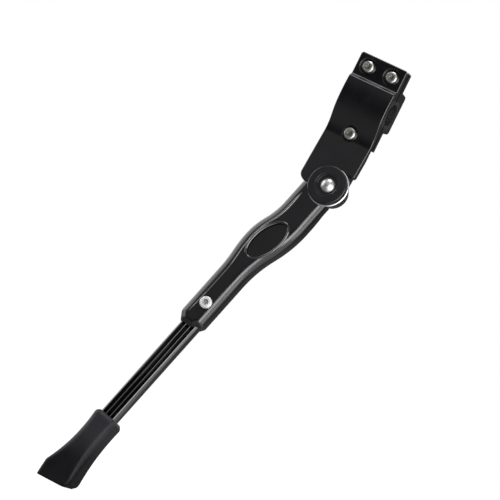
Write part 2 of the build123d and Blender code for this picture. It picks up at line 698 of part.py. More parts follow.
def make_rubber_foot():
    lip_w = FOOT_TOP_W - 2 * FOOT_LIP
    lip_t = FOOT_TOP_T - 2 * FOOT_LIP
    lip = foot_section(FOOT_LENGTH, FOOT_TOP_SHIFT, lip_w, lip_t, FOOT_ROUND - FOOT_LIP)
    upper = foot_section(FOOT_LENGTH - FOOT_LIP, FOOT_TOP_SHIFT, FOOT_TOP_W, FOOT_TOP_T, FOOT_ROUND)
    waist = foot_section(FOOT_WAIST, FOOT_WAIST_SHIFT, FOOT_WAIST_W, FOOT_WAIST_T, FOOT_ROUND)
    tip = foot_section(FOOT_TIP, FOOT_TIP_SHIFT, FOOT_TIP_W, FOOT_TIP_T, SOLE_ROUND)
    low = foot_section(-FOOT_TIP, FOOT_LOW_SHIFT, FOOT_LOW_W, FOOT_TIP_T, SOLE_ROUND)
    foot = loft([lip, upper]) + loft([upper, waist, tip]) + loft([tip, low])
    ground = (LEG * Pos(-AXIS_OFFSET, BAR_Y, -AXIS_TO_SOLE)).position
    foot &= Pos(ground) * slab(ground_profile(), -WIDE, WIDE)
    first = -(TREAD_COUNT - 1) / 2
    for index in range(TREAD_COUNT):
        cut = Box(TREAD_W, FOOT_TIP_T - 2 * TREAD_END, 2 * TREAD_DEPTH)
        foot -= Pos(ground) * Pos((first + index) * TREAD_PITCH, 0, 0) * cut
    return foot - LEG * bar_stock(0, FOOT_TOP - 1, BAR_BOTTOM)


NODES = {
    "bracket": make_bracket(),
    "clamp_plate": make_clamp_plate(),
    "front_pad": make_pad(-1),
    "rear_pad": make_pad(1),
    "clamp_bolts": make_clamp_bolts(),
    "clamp_washers": make_clamp_washers(),
    "clamp_nuts": make_clamp_nuts(),
    "hinge_cap": make_hinge_cap(),
    "pivot_bolt": make_pivot_bolt(),
    "cam_collar": make_cam_collar(),
    "thrust_washer": make_thrust_washer(),
    "pivot_washer": make_pivot_washer(),
    "pivot_nut": make_pivot_nut(),
    "upper_leg": make_upper_leg(),
    "detent_ball": make_detent_ball(),
    "detent_spring": make_detent_spring(),
    "adjusting_screw": make_adjusting_screw(),
    "lower_leg": make_lower_leg(),
    "rubber_foot": make_rubber_foot(),
}

os.makedirs("parts", exist_ok=True)
for name, shape in NODES.items():
    pieces = shape if isinstance(shape, list) else [shape]
    solids = [solid for piece in pieces for solid in piece.solids()]
    export_step(Compound(solids) if len(solids) > 1 else solids[0], f"parts/{name}.step")
    print(name, len(solids), round(sum(solid.volume for solid in solids), 1))
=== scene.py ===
import bpy
import json
import math
from mathutils import Matrix, Vector


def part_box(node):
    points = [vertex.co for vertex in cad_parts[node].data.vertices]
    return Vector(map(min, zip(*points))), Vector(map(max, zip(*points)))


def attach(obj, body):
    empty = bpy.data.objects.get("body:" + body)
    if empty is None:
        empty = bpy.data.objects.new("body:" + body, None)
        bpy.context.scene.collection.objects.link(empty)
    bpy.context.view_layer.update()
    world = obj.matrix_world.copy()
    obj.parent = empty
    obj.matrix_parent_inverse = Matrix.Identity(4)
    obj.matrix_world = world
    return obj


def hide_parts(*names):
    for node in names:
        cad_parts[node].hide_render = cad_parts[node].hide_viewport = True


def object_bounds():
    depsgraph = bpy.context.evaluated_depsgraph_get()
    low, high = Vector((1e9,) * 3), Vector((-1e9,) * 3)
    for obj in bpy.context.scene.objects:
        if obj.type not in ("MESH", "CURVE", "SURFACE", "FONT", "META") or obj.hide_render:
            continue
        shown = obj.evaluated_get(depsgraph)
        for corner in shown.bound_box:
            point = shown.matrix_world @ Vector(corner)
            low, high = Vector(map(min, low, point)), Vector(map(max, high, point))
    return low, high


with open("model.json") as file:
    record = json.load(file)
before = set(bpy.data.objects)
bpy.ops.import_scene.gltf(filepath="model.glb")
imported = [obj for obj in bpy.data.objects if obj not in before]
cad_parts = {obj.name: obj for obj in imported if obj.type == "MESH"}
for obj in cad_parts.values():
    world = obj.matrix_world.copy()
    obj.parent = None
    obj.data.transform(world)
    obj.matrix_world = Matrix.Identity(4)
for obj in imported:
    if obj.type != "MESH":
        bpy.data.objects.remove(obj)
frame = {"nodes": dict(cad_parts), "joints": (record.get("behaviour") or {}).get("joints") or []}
cad_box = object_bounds()
NODES = frame["nodes"]
JOINTS = {joint["name"]: joint for joint in frame["joints"]}
GROUND = cad_box[0].z

# Photograph: square frame, scale and the pixel of the hinge axis in it
IMAGE_PX = 500
METRES_PER_PX = 0.0007
HINGE_PX = (328.7, 187.1)
VIEW_AZIMUTH = math.radians(21.0)    # the camera stands this far round to the rear
VIEW_ROLL = math.radians(26.2)       # the object leans by this angle in the picture
CAMERA_DISTANCE = 2.6
SENSOR_MM = 36.0

# Directions of the parts, from the joints
HINGE_POINT = Vector(JOINTS["fold"]["pos_m"])
HINGE_AXIS = Vector(JOINTS["fold"]["axis"]).normalized()
LEG_AXIS = Vector(JOINTS["height"]["axis"]).normalized()
LEG_ACROSS = HINGE_AXIS.cross(LEG_AXIS)

# Clamp bolts run along Y at these places (x, z); their hexagon sockets open to the front
BOLT_PLACES = ((-0.0096, 0.024), (0.0096, 0.024), (0.0, -0.024))
BOLT_AXIS = Vector((0, 1, 0))
BOLT_MIDDLE = 0.0                    # heads lie in front of this y, and thread ends behind it
BOLT_BLEND = 0.001                   # the sockets' painted shade fades out over this length before it
SOCKET_IN = 0.0020                   # radius where the dark of a socket ends
SOCKET_OUT = 0.0024                  # and where full light starts
SOCKET_LIGHT = 0.4                   # share of light left in a socket, painted as shade into the colour
SCREW_SOCKET_LIGHT = 0.45            # and in that of the adjusting screw

# Grooves of the lower bar, with floors and bevels stacked on their bottoms; the floors carry painted
# shade
GROOVE_COUNT = 3
GROOVE_W = 0.0027
GROOVE_DEPTH = 0.0012
GROOVE_PITCH = 0.0036
GROOVE_CLEAR = 0.00003               # pieces stay this far off the groove's walls and bottom
FLOOR_LIFT = 2 * GROOVE_CLEAR        # a floor's upper side at its middle
BEVEL_LIFT = 3 * GROOVE_CLEAR        # a bevel's lower edge
GROOVE_RISE = 0.0005                 # how far a floor's sides curve up
GROOVE_CURVE = 3                     # power of that curve
GROOVE_STEPS = 12
GROOVE_BEVEL = 0.0008                # bevel along the rear side of each groove

# Threads on the bolt ends
BOLT_R = 0.0025
BOLT_PITCH = 0.0008
PIVOT_R = 0.004
PIVOT_PITCH = 0.00125
THREAD_H = 0.0003
THREAD_SINK = 0.0001                 # the thread's root lies this far inside the bolt
THREAD_FADE = 0.5                    # turns in which the thread grows to its height at either end
THREAD_RINGS = 8                     # rings of points in one turn of the thread
THREAD_STEPS = 40

# Rounded beads on the leg's front: a line along its forward edge and the rim of the oval recess
PANEL_OUT = 0.0005                   # the leg's front panel, out from the hinge point
BEAD_SINK = 0.0001                   # beads start this far below the panel
BEAD_STEPS = 8
BEAD_PITCH = 0.0015                  # length of one step along the line
BEAD_END = 0.3                       # share of its size at either end of the line
BEAD_GROW = 0.2                      # and what each step from there adds
RIDGE_TOP = 0.0009                   # the CAD ridge's top, out from the hinge point
RIDGE_LEVEL = 0.00002                # points this near to that height are on the top
RIDGE_STATION = 0.0008               # points within this length down the leg are one station
RIDGE_TAIL = 0.130                   # how far down the leg the line runs
RIDGE_DRIFT = 0.0006                 # and how far it drifts forward on the way past the CAD ridge
RIDGE_W = 0.0013
RIDGE_H = 0.0006
RIDGE_STRENGTH = (1.4, 0.65)         # share of its size down to RIDGE_STRONG, and from RIDGE_FAINT on
RIDGE_STRONG = 0.028
RIDGE_FAINT = 0.090
OVAL_CENTRE = (-0.0078, 0.0565)      # across and down from the hinge
OVAL_HALF = (0.01765, 0.00905)       # half axes of the rim's middle line
OVAL_LEAN = math.radians(12.0)
OVAL_RIM_W = 0.0020
OVAL_RIM_H = 0.0009
OVAL_STEPS = 96

# Bare flared ring at the rear edge of the cap, as (radius, out from the hinge point)
CAP_RING = (
    (0.0140, 0.0019),
    (0.0143, 0.00178),
    (0.0148, 0.0011),
    (0.0149, 0.0010),
    (0.0148, 0.0009),
    (0.0140, 0.0009),
)
CAP_RING_SMOOTH = 4                  # faces of its section that are shaded smooth
CAP_RING_STEPS = 128

# Rubber foot: painted shade makes the toe darker than the shaft, by the height above the ground
TOE_DARK = 0.022
SHAFT_LIGHT = 0.046
TOE_SHADE_LEVELS = (0.30, 0.60)                 # level of the painted shade in the colour at those heights
TOE_SHADE_WANDER = 0.2                   # share of a cloudy tone pattern that is added to the painted shade
BOOT_VOXEL = 0.0006
BOOT_SMOOTH = 16                     # rounds of smoothing for its moulded edges
BOOT_SOFTEN = 0.5                    # strength of one round
SOLE_SNAP = 0.0006                   # points this near to the ground lie on it
COLLAR_RISE = 0.0015                 # its upper end reaches this far up the bar from the CAD foot's
COLLAR_LENGTH = 0.025                # and the shift fades out over this length below it

# Colours, from the dark to the light end of each pattern
PAINT_BLACK = ((0.0016, 0.0015, 0.0026), (0.0030, 0.0028, 0.0046))
BAR_BLACK = ((0.0008, 0.0008, 0.0010), (0.0016, 0.0016, 0.0019))
CAP_BLACK = ((0.0110, 0.0107, 0.0130), (0.0140, 0.0136, 0.0165))
# painted shade in the bar's grooves
GROOVE_SHADE_BLACK = ((0.0006, 0.0006, 0.0007), (0.0014, 0.0014, 0.0016))
# the foot's range holds the painted shade of the toe as well as its random tone
FOOT_BLACK = ((0.0016, 0.0015, 0.0026), (0.025, 0.0243, 0.029))
LINER_BLACK = ((0.006, 0.006, 0.006), (0.012, 0.012, 0.012))
WASHER_CREAM = ((0.60, 0.57, 0.50), (0.72, 0.69, 0.62))
PLATED_STEEL = ((0.56, 0.56, 0.56), (0.72, 0.72, 0.72))
BOLT_STEEL = ((0.62, 0.62, 0.58), (0.78, 0.78, 0.73))
SCREW_STEEL = ((0.84, 0.84, 0.85), (0.92, 0.92, 0.93))
RING_STEEL = ((0.80, 0.80, 0.80), (0.92, 0.92, 0.92))

# Roughness, at the two ends of each pattern
PAINT_ROUGH = (0.18, 0.24)
BEAD_ROUGH = (0.09, 0.13)
BAR_ROUGH = (0.10, 0.17)
CAP_ROUGH = (0.18, 0.25)
STEEL_ROUGH = (0.28, 0.42)
FOOT_ROUGH = (0.40, 0.48)
GROOVE_ROUGH = (0.15, 0.22)
LINER_ROUGH = (0.6, 0.8)
WASHER_ROUGH = (0.4, 0.55)

# Specular level of the dark surfaces, and how metallic the steel is
PAINT_SPECULAR = 0.8
BEAD_SPECULAR = 1.0
BAR_SPECULAR = 1.0
CAP_SPECULAR = 0.35
FOOT_SPECULAR = 0.2
# low, so that the groove floors reflect little and read as painted shade
GROOVE_SPECULAR = 0.1
BEAD_COAT = 1.0                      # weight of the clear coat on the beads
STEEL_METALLIC = 1.0
SCREW_METALLIC = 0.35                # the screw's plating is white and dull

# Noise patterns as (scale per metre, detail, roughness), and the part of their range that is used
PAINT_CLOUD = (60.0, 3.0, 0.55)
PAINT_PEEL = (1400.0, 2.0, 0.55)
DRAWN_LINES = (1500.0, 4.0, 0.55)
CAP_CLOUD = (80.0, 3.0, 0.55)
STEEL_CLOUD = (300.0, 3.0, 0.55)
STEEL_SCRATCH = (2500.0, 4.0, 0.7)
FOOT_CLOUD = (45.0, 4.0, 0.55)
FOOT_GRAIN = (2200.0, 2.0, 0.55)
LINER_GRAIN = (1200.0, 3.0, 0.55)
WASHER_CLOUD = (400.0, 3.0, 0.55)
NOISE_LOW = 0.35
NOISE_HIGH = 0.65
DRAWN_SHARE = 0.02                   # scale of the drawing lines along the bar, as a share of that across
LATHE_RINGS = 9000.0                 # phase of the cap's lathe rings, in radians per metre of radius

# Relief of the patterns as (strength, depth)
PEEL_BUMP = (0.12, 0.0002)
DRAWN_BUMP = (0.10, 0.0001)
LATHE_BUMP = (0.08, 0.0001)
SCRATCH_BUMP = (0.10, 0.0001)
GRAIN_BUMP = (0.20, 0.0002)

# Studio
WHITE = 1.0
AMBIENT = 0.30                       # world light on matt surfaces
# What reflections see of the studio, by the cosine between a direction and the way to the camera
STUDIO = ((-0.97, 1.0), (-0.86, 0.12), (0.0, 0.10), (0.5, 0.05))
CEILING = 0.42                       # and what the ceiling adds, from CEILING_LOW to CEILING_HIGH
CEILING_LOW = 0.15
CEILING_HIGH = 0.55
FLOOR_ALBEDO = 0.18
FLOOR_GLOW = 0.97                    # what the camera sees added to the lit floor
FLOOR_SHEEN = 0.05                   # what reflections see added to it, up to white in a painted pool of light
POOL_START = 0.06                    # the pool begins at this x
POOL_FULL = 0.20                     # and is white from this x on
POOL_AHEAD = 0.0                     # it is white in front of this y
POOL_BEHIND = 0.20                   # and ends at this one
FLOOR_HALF = 4.0                     # half of the floor's side
FLOOR_GAP = 0.0002                   # the floor lies this far below the sole

# Lamps as (name, direction from the middle of the picture, distance, width and height, watts)
LAMPS = (
    ("left_box", (-1.0, 0.03, 0.2), 1.0, (1.6, 1.0), 8.0),
    ("key_box", (0.6, -0.8, 0.12), 1.0, (0.5, 0.9), 7.5),
    ("right_box", (0.97, -0.22, 0.1), 1.0, (0.7, 0.9), 4.5),
    ("top_box", (-0.2, -0.15, 1.0), 1.1, (0.6, 0.5), 3.0),
    ("rear_box", (0.1, 0.75, 0.65), 1.1, (0.8, 0.5), 3.0),
)


def material(name):
    """A new node material: the material, its node tree and its shader."""
    made = bpy.data.materials.new(name)
    made.use_nodes = True
    tree = made.node_tree
    return made, tree, tree.nodes["Principled BSDF"]


def add_node(tree, kind, **settings):
    """A new node with its settings."""
    node = tree.nodes.new(kind)
    for key, value in settings.items():
        setattr(node, key, value)
    return node


def coordinates(tree):
    """Place of a point in metres, in the frame of the piece that it is on."""
    return add_node(tree, "ShaderNodeTexCoord").outputs["Object"]


def split(tree, vector):
    """The X, Y and Z outputs of a vector."""
    node = add_node(tree, "ShaderNodeSeparateXYZ")
    tree.links.new(vector, node.inputs["Vector"])
    return node.outputs


def noise(tree, vector, scale, detail, rough):
    """Cloudy pattern, from 0 to 1."""
    node = add_node(tree, "ShaderNodeTexNoise")
    node.inputs["Scale"].default_value = scale
    node.inputs["Detail"].default_value = detail
    node.inputs["Roughness"].default_value = rough
    tree.links.new(vector, node.inputs["Vector"])
    return node.outputs["Fac"]


def spread(tree, value, low, high, start=NOISE_LOW, end=NOISE_HIGH):
    """Maps a value from start..end to low..high."""
    node = add_node(tree, "ShaderNodeMapRange")
    node.inputs["From Min"].default_value = start
    node.inputs["From Max"].default_value = end
    node.inputs["To Min"].default_value = low
    node.inputs["To Max"].default_value = high
    tree.links.new(value, node.inputs["Value"])
    return node.outputs["Result"]


def tint(tree, value, dark, light):
    """Colour between dark and light, by a value."""
    ramp = add_node(tree, "ShaderNodeValToRGB")
    ends = ((NOISE_LOW, dark), (NOISE_HIGH, light))
    for element, (position, colour) in zip(ramp.color_ramp.elements, ends):
        element.position = position
        element.color = (*colour, 1)
    tree.links.new(value, ramp.inputs["Fac"])
    return ramp.outputs["Color"]


def bump(tree, height, strength, depth):
    """Surface normal of a relief."""
    node = add_node(tree, "ShaderNodeBump")
    node.inputs["Strength"].default_value = strength
    node.inputs["Distance"].default_value = depth
    tree.links.new(height, node.inputs["Height"])
    return node.outputs["Normal"]


def drawn_lines(tree):
    """Pattern of fine lines along the lower bar."""
    turn = LEG_AXIS.rotation_difference(Vector((0, 0, 1)))
    mapping = add_node(tree, "ShaderNodeMapping", vector_type="POINT")
    mapping.inputs["Rotation"].default_value = turn.to_euler()
    tree.links.new(coordinates(tree), mapping.inputs["Vector"])
    squeeze = add_node(tree, "ShaderNodeVectorMath", operation="MULTIPLY")
    squeeze.inputs[1].default_value = (1, 1, DRAWN_SHARE)
    tree.links.new(mapping.outputs["Vector"], squeeze.inputs[0])
    return noise(tree, squeeze.outputs["Vector"], *DRAWN_LINES)


def radius_from(tree, vector, point, axis):
    """Distance of a place from an axis through a point."""
    offset = add_node(tree, "ShaderNodeVectorMath", operation="SUBTRACT")
    offset.inputs[1].default_value = point
    cross = add_node(tree, "ShaderNodeVectorMath", operation="CROSS_PRODUCT")
    cross.inputs[1].default_value = axis
    length = add_node(tree, "ShaderNodeVectorMath", operation="LENGTH")
    tree.links.new(vector, offset.inputs[0])
    tree.links.new(offset.outputs["Vector"], cross.inputs[0])
    tree.links.new(cross.outputs["Vector"], length.inputs[0])
    return length.outputs["Value"]


def combine(tree, operation, first, second):
    """Result of a sum or the like with two numbers that come from other nodes."""
    node = add_node(tree, "ShaderNodeMath", operation=operation)
    tree.links.new(first, node.inputs[0])
    tree.links.new(second, node.inputs[1])
    return node.outputs["Value"]


def surface(tree, shader, colour, rough, normal=None):
    """Links a colour, a roughness and perhaps a relief to a shader."""
    tree.links.new(colour, shader.inputs["Base Color"])
    tree.links.new(rough, shader.inputs["Roughness"])
    if normal is not None:
        tree.links.new(normal, shader.inputs["Normal"])


def cast_paint():
    """Satin black powder coat on a casting, with a fine orange peel."""
    made, tree, shader = material("cast_paint")
    place = coordinates(tree)
    cloud = noise(tree, place, *PAINT_CLOUD)
    peel = bump(tree, noise(tree, place, *PAINT_PEEL), *PEEL_BUMP)
    surface(tree, shader, tint(tree, cloud, *PAINT_BLACK), spread(tree, cloud, *PAINT_ROUGH), peel)
    shader.inputs["Specular IOR Level"].default_value = PAINT_SPECULAR
    return made


def bead_paint():
    """The same black on the raised lines, where it lies thick and glossy."""
    made, tree, shader = material("bead_paint")
    cloud = noise(tree, coordinates(tree), *PAINT_CLOUD)
    surface(tree, shader, tint(tree, cloud, *PAINT_BLACK), spread(tree, cloud, *BEAD_ROUGH))
    shader.inputs["Specular IOR Level"].default_value = BEAD_SPECULAR
    shader.inputs["Coat Weight"].default_value = BEAD_COAT
    return made


def gloss_bar():
    """Black anodised bar with fine drawing lines along it."""
    made, tree, shader = material("gloss_bar")
    lines = drawn_lines(tree)
    relief = bump(tree, lines, *DRAWN_BUMP)
    surface(tree, shader, tint(tree, lines, *BAR_BLACK), spread(tree, lines, *BAR_ROUGH), relief)
    shader.inputs["Specular IOR Level"].default_value = BAR_SPECULAR
    return made


def painted_groove_shade():
    """Dull black in the bottom of the bar's grooves, painted there as shade."""
    made, tree, shader = material("painted_groove_shade")
    lines = drawn_lines(tree)
    surface(tree, shader, tint(tree, lines, *GROOVE_SHADE_BLACK), spread(tree, lines, *GROOVE_ROUGH))
    shader.inputs["Specular IOR Level"].default_value = GROOVE_SPECULAR
    return made


def turned_cap():
    """Black cap with the fine rings of a lathe tool."""
    made, tree, shader = material("turned_cap")
    place = coordinates(tree)
    turns = add_node(tree, "ShaderNodeMath", operation="MULTIPLY")
    turns.inputs[1].default_value = LATHE_RINGS
    tree.links.new(radius_from(tree, place, HINGE_POINT, HINGE_AXIS), turns.inputs[0])
    wave = add_node(tree, "ShaderNodeMath", operation="SINE")
    tree.links.new(turns.outputs["Value"], wave.inputs[0])
    rings = bump(tree, wave.outputs["Value"], *LATHE_BUMP)
    cloud = noise(tree, place, *CAP_CLOUD)
    surface(tree, shader, tint(tree, cloud, *CAP_BLACK), spread(tree, cloud, *CAP_ROUGH), rings)
    shader.inputs["Specular IOR Level"].default_value = CAP_SPECULAR
    return made


def steel(name, colours, sockets=None, metallic=STEEL_METALLIC):
    """Zinc-plated steel with faint scratches; sockets gives the share of light left by painted shade."""
    made, tree, shader = material(name)
    place = coordinates(tree)
    scratch = noise(tree, place, *STEEL_SCRATCH)
    colour = tint(tree, noise(tree, place, *STEEL_CLOUD), *colours)
    if sockets:
        shade = add_node(tree, "ShaderNodeMix", data_type="RGBA", blend_type="MULTIPLY")
        shade.inputs["Factor"].default_value = 1.0
        tree.links.new(colour, shade.inputs["A"])
        tree.links.new(sockets(tree, place), shade.inputs["B"])
        colour = shade.outputs["Result"]
    surface(tree, shader, colour, spread(tree, scratch, *STEEL_ROUGH), bump(tree, scratch, *SCRATCH_BUMP))
    shader.inputs["Metallic"].default_value = metallic
    return made


def bolt_socket_shade(tree, place):
    """Painted shade in the heads of the clamp bolts: dark within the sockets, full light elsewhere."""
    nearest = radius_from(tree, place, (BOLT_PLACES[0][0], 0, BOLT_PLACES[0][1]), BOLT_AXIS)
    for x, z in BOLT_PLACES[1:]:
        nearest = combine(tree, "MINIMUM", nearest, radius_from(tree, place, (x, 0, z), BOLT_AXIS))
    outside = spread(tree, nearest, SOCKET_LIGHT, 1.0, SOCKET_IN, SOCKET_OUT)
    behind = spread(tree, split(tree, place)["Y"], 0.0, 1.0, BOLT_MIDDLE - BOLT_BLEND, BOLT_MIDDLE)
    return combine(tree, "MAXIMUM", outside, behind)


def screw_socket_shade(tree, place):
    """Painted shade in the head of the adjusting screw: dark within the socket."""
    low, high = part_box("adjusting_screw")
    middle = (Vector(low) + Vector(high)) / 2
    radius = radius_from(tree, place, middle, HINGE_AXIS)
    return spread(tree, radius, SCREW_SOCKET_LIGHT, 1.0, SOCKET_IN, SOCKET_OUT)


def foot_rubber():
    """Matt moulded rubber with a fine grain, and painted shade that darkens it from the shaft down to the
    toe.
    """
    made, tree, shader = material("foot_rubber")
    place = coordinates(tree)
    cloud = noise(tree, place, *FOOT_CLOUD)
    grain = bump(tree, noise(tree, place, *FOOT_GRAIN), *GRAIN_BUMP)
    # painted shade: the colour darkens by height from the shaft down to the toe
    toe_shade = spread(tree, split(tree, place)["Z"], *TOE_SHADE_LEVELS, GROUND + TOE_DARK, GROUND + SHAFT_LIGHT)
    wander = add_node(tree, "ShaderNodeMath", operation="MULTIPLY_ADD")
    wander.inputs[1].default_value = TOE_SHADE_WANDER
    tree.links.new(cloud, wander.inputs[0])
    tree.links.new(toe_shade, wander.inputs[2])
    colour = tint(tree, wander.outputs["Value"], *FOOT_BLACK)
    surface(tree, shader, colour, spread(tree, cloud, *FOOT_ROUGH), grain)
    shader.inputs["Specular IOR Level"].default_value = FOOT_SPECULAR
    return made


def liner_rubber():
    """Dark grainy rubber of the clamp liners."""
    made, tree, shader = material("liner_rubber")
    grain = noise(tree, coordinates(tree), *LINER_GRAIN)
    relief = bump(tree, grain, *GRAIN_BUMP)
    surface(tree, shader, tint(tree, grain, *LINER_BLACK), spread(tree, grain, *LINER_ROUGH), relief)
    return made


def washer_plastic():
    """Cream slide washer in the hinge."""
    made, tree, shader = material("washer_plastic")
    cloud = noise(tree, coordinates(tree), *WASHER_CLOUD)
    surface(tree, shader, tint(tree, cloud, *WASHER_CREAM), spread(tree, cloud, *WASHER_ROUGH))
    return made


def dress_nodes(paint, coat, rubber, plated):
    """Gives every CAD node its material; those not named here are of plated steel."""
    liner = liner_rubber()
    special = {
        "bracket": paint,
        "clamp_plate": paint,
        "upper_leg": paint,
        "hinge_cap": turned_cap(),
        "lower_leg": coat,
        "rubber_foot": rubber,
        "front_pad": liner,
        "rear_pad": liner,
        "thrust_washer": washer_plastic(),
        "clamp_bolts": steel("bolt_steel", BOLT_STEEL, bolt_socket_shade),
        "adjusting_screw": steel("screw_steel", SCREW_STEEL, screw_socket_shade, SCREW_METALLIC),
    }
    for name, node in NODES.items():
        node.data.materials.clear()
        node.data.materials.append(special.get(name, plated))


def leg_place(across, out, down):
    """Point by its distances from the hinge: across the leg, out of its front and down along it."""
    return HINGE_POINT + LEG_ACROSS * across + HINGE_AXIS * out + LEG_AXIS * down


def leg_span(name, axis):
    """Where a node starts and ends along an axis from the hinge."""
    spans = [(vertex.co - HINGE_POINT).dot(axis) for vertex in NODES[name].data.vertices]
    return min(spans), max(spans)


def ring_faces(first, count, rings, closed=False):
    """Quads between rings of count points each, from point first on; closed joins both ends."""
    faces = []
    for ring in range(rings if closed else rings - 1):
        here = first + ring * count
        there = first + (ring + 1) % rings * count
        for step in range(count):
            after = (step + 1) % count
            faces.append((here + step, here + after, there + after, there + step))
    return faces


def tube_faces(first, count, rings):
    """Quads between rings of points, and a face over either end."""
    last = first + (rings - 1) * count
    start = tuple(range(first + count - 1, first - 1, -1))
    end = tuple(range(last, last + count))
    return ring_faces(first, count, rings) + [start, end]


def add_object(name, data):
    """Puts a mesh, lamp or camera into the scene."""
    made = bpy.data.objects.new(name, data)
    bpy.context.scene.collection.objects.link(made)
    return made


def add_mesh(name, points, faces, smooth, coat):
    """Puts a mesh of one material into the scene; smooth tells which faces are shaded smooth."""
    mesh = bpy.data.meshes.new(name)
    mesh.from_pydata(points, [], faces)
    mesh.polygons.foreach_set("use_smooth", smooth)
    mesh.materials.append(coat)
    return add_object(name, mesh)


def groove_strips(name, section, smooth, coat):
    """A strip of one section along each of the bar's grooves, as (across, above the groove's bottom)."""
    left, right = leg_span("lower_leg", LEG_ACROSS)
    bottom = leg_span("lower_leg", HINGE_AXIS)[1] - GROOVE_DEPTH
    ends = leg_span("lower_leg", LEG_AXIS)
    points = []
    faces = []
    for index in range(GROOVE_COUNT):
        middle = (left + right) / 2 + (index - (GROOVE_COUNT - 1) / 2) * GROOVE_PITCH
        faces += tube_faces(len(points), len(section), len(ends))
        for down in ends:
            points += [leg_place(middle + across, bottom + rise, down) for across, rise in section]
    per_strip = len(faces) // GROOVE_COUNT
    shading = [index % per_strip < smooth for index in range(len(faces))]
    piece = add_mesh(name, points, faces, shading, coat)
    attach(piece, "lower")


def groove_details(coat):
    """Dull rounded floors of painted shade in the bar's grooves, and a glossy bevel along the rear side
    of each.
    """
    half = GROOVE_W / 2 - GROOVE_CLEAR
    section = []
    for step in range(GROOVE_STEPS + 1):
        across = (2 * step / GROOVE_STEPS - 1) * half
        section.append((across, FLOOR_LIFT + GROOVE_RISE * abs(across / half) ** GROOVE_CURVE))
    section += [(half, GROOVE_CLEAR), (-half, GROOVE_CLEAR)]
    groove_strips("groove_floors", section, GROOVE_STEPS, painted_groove_shade())
    bevel = [(half - GROOVE_BEVEL, BEVEL_LIFT), (half, BEVEL_LIFT + GROOVE_BEVEL), (half, BEVEL_LIFT)]
    groove_strips("groove_bevels", bevel, 0, coat)


def thread_points(end, axis, radius, length, pitch, rings):
    """Rings of points of a screw thread, from a bolt's end back against its axis."""
    side = axis.orthogonal().normalized()
    over = axis.cross(side)
    points = []
    for ring in range(rings):
        back = length * ring / (rings - 1)
        fade = min(1.0, back / pitch / THREAD_FADE, (length - back) / pitch / THREAD_FADE)
        for step in range(THREAD_STEPS):
            turn = step / THREAD_STEPS
            phase = (back / pitch - turn) % 1
            crest = radius - THREAD_SINK + THREAD_H * fade * (1 - abs(2 * phase - 1))
            out = side * math.cos(2 * math.pi * turn) + over * math.sin(2 * math.pi * turn)
            points.append(end - axis * back + out * crest)
    return points


def tail_threads(plated):
    """Threads on the ends of the clamp bolts and the pivot bolt, behind their nuts."""
    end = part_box("clamp_bolts")[1][1]
    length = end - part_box("clamp_nuts")[1][1]
    tails = [(Vector((x, end, z)), BOLT_AXIS, BOLT_R, length, BOLT_PITCH) for x, z in BOLT_PLACES]
    rear = leg_span("pivot_bolt", HINGE_AXIS)[0]
    length = leg_span("pivot_nut", HINGE_AXIS)[0] - rear
    tails.append((HINGE_POINT + HINGE_AXIS * rear, -HINGE_AXIS, PIVOT_R, length, PIVOT_PITCH))
    points = []
    faces = []
    for point, axis, radius, length, pitch in tails:
        rings = math.ceil(length / pitch * THREAD_RINGS) + 1
        for face in tube_faces(len(points), THREAD_STEPS, rings):
            faces.append(face[:1] + face[:0:-1])    # turned over, because the rings run against the axis
        points += thread_points(point, axis, radius, length, pitch, rings)
    piece = add_mesh("tail_threads", points, faces, [False] * len(faces), plated)
    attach(piece, "base")


def rubber_boot(rubber):
    """Boot with soft moulded edges, in place of the CAD foot."""
    shape = add_object("boot_shape", NODES["rubber_foot"].data.copy())
    remesh = shape.modifiers.new("remesh", "REMESH")
    remesh.mode = "VOXEL"
    remesh.voxel_size = BOOT_VOXEL
    soften = shape.modifiers.new("soften", "SMOOTH")
    soften.factor = BOOT_SOFTEN
    soften.iterations = BOOT_SMOOTH
    mesh = bpy.data.meshes.new_from_object(shape.evaluated_get(bpy.context.evaluated_depsgraph_get()))
    bpy.data.objects.remove(shape)
    top = leg_span("rubber_foot", LEG_AXIS)[0]
    for vertex in mesh.vertices:
        below = (vertex.co - HINGE_POINT).dot(LEG_AXIS) - top
        vertex.co -= LEG_AXIS * COLLAR_RISE * max(0.0, 1 - max(0.0, below) / COLLAR_LENGTH)
        if vertex.co.z < GROUND + SOLE_SNAP:
            vertex.co.z = GROUND
    mesh.materials.clear()
    mesh.materials.append(rubber)
    mesh.polygons.foreach_set("use_smooth", [True] * len(mesh.polygons))
    boot = add_object("rubber_boot", mesh)
    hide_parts("rubber_foot")
    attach(boot, "lower")


def ridge_stations():
    """Middle of the CAD ridge's top as (down, across), station by station."""
    top = []
    for vertex in NODES["upper_leg"].data.vertices:
        place = vertex.co - HINGE_POINT
        if abs(place.dot(HINGE_AXIS) - RIDGE_TOP) < RIDGE_LEVEL:
            top.append(Vector((place.dot(LEG_AXIS), place.dot(LEG_ACROSS))))
    top.sort(key=tuple)
    groups = [[top[0]]]
    for entry in top[1:]:
        if entry[0] - groups[-1][0][0] > RIDGE_STATION:
            groups.append([])
        groups[-1].append(entry)
    return [sum(group, Vector((0, 0))) / len(group) for group in groups]


def ridge_path():
    """Middle line of the CAD ridge as (across, down), carried on straight towards the tip."""
    path = [Vector((across, down)) for down, across in ridge_stations()]
    path.append(Vector((path[-1][0] - RIDGE_DRIFT, RIDGE_TAIL)))
    fine = []
    for here, there in zip(path, path[1:]):
        count = max(1, round((there[1] - here[1]) / BEAD_PITCH))
        fine += [here.lerp(there, step / count) for step in range(count)]
    return fine + [path[-1]]


def oval_path():
    """Middle line of the oval's rim as (across, down)."""
    long_axis = Vector((math.sin(OVAL_LEAN), -math.cos(OVAL_LEAN))) * OVAL_HALF[0]
    short_axis = Vector((math.cos(OVAL_LEAN), math.sin(OVAL_LEAN))) * OVAL_HALF[1]
    path = []
    for step in range(OVAL_STEPS):
        turn = 2 * math.pi * step / OVAL_STEPS
        path.append(Vector(OVAL_CENTRE) + long_axis * math.cos(turn) + short_axis * math.sin(turn))
    return path


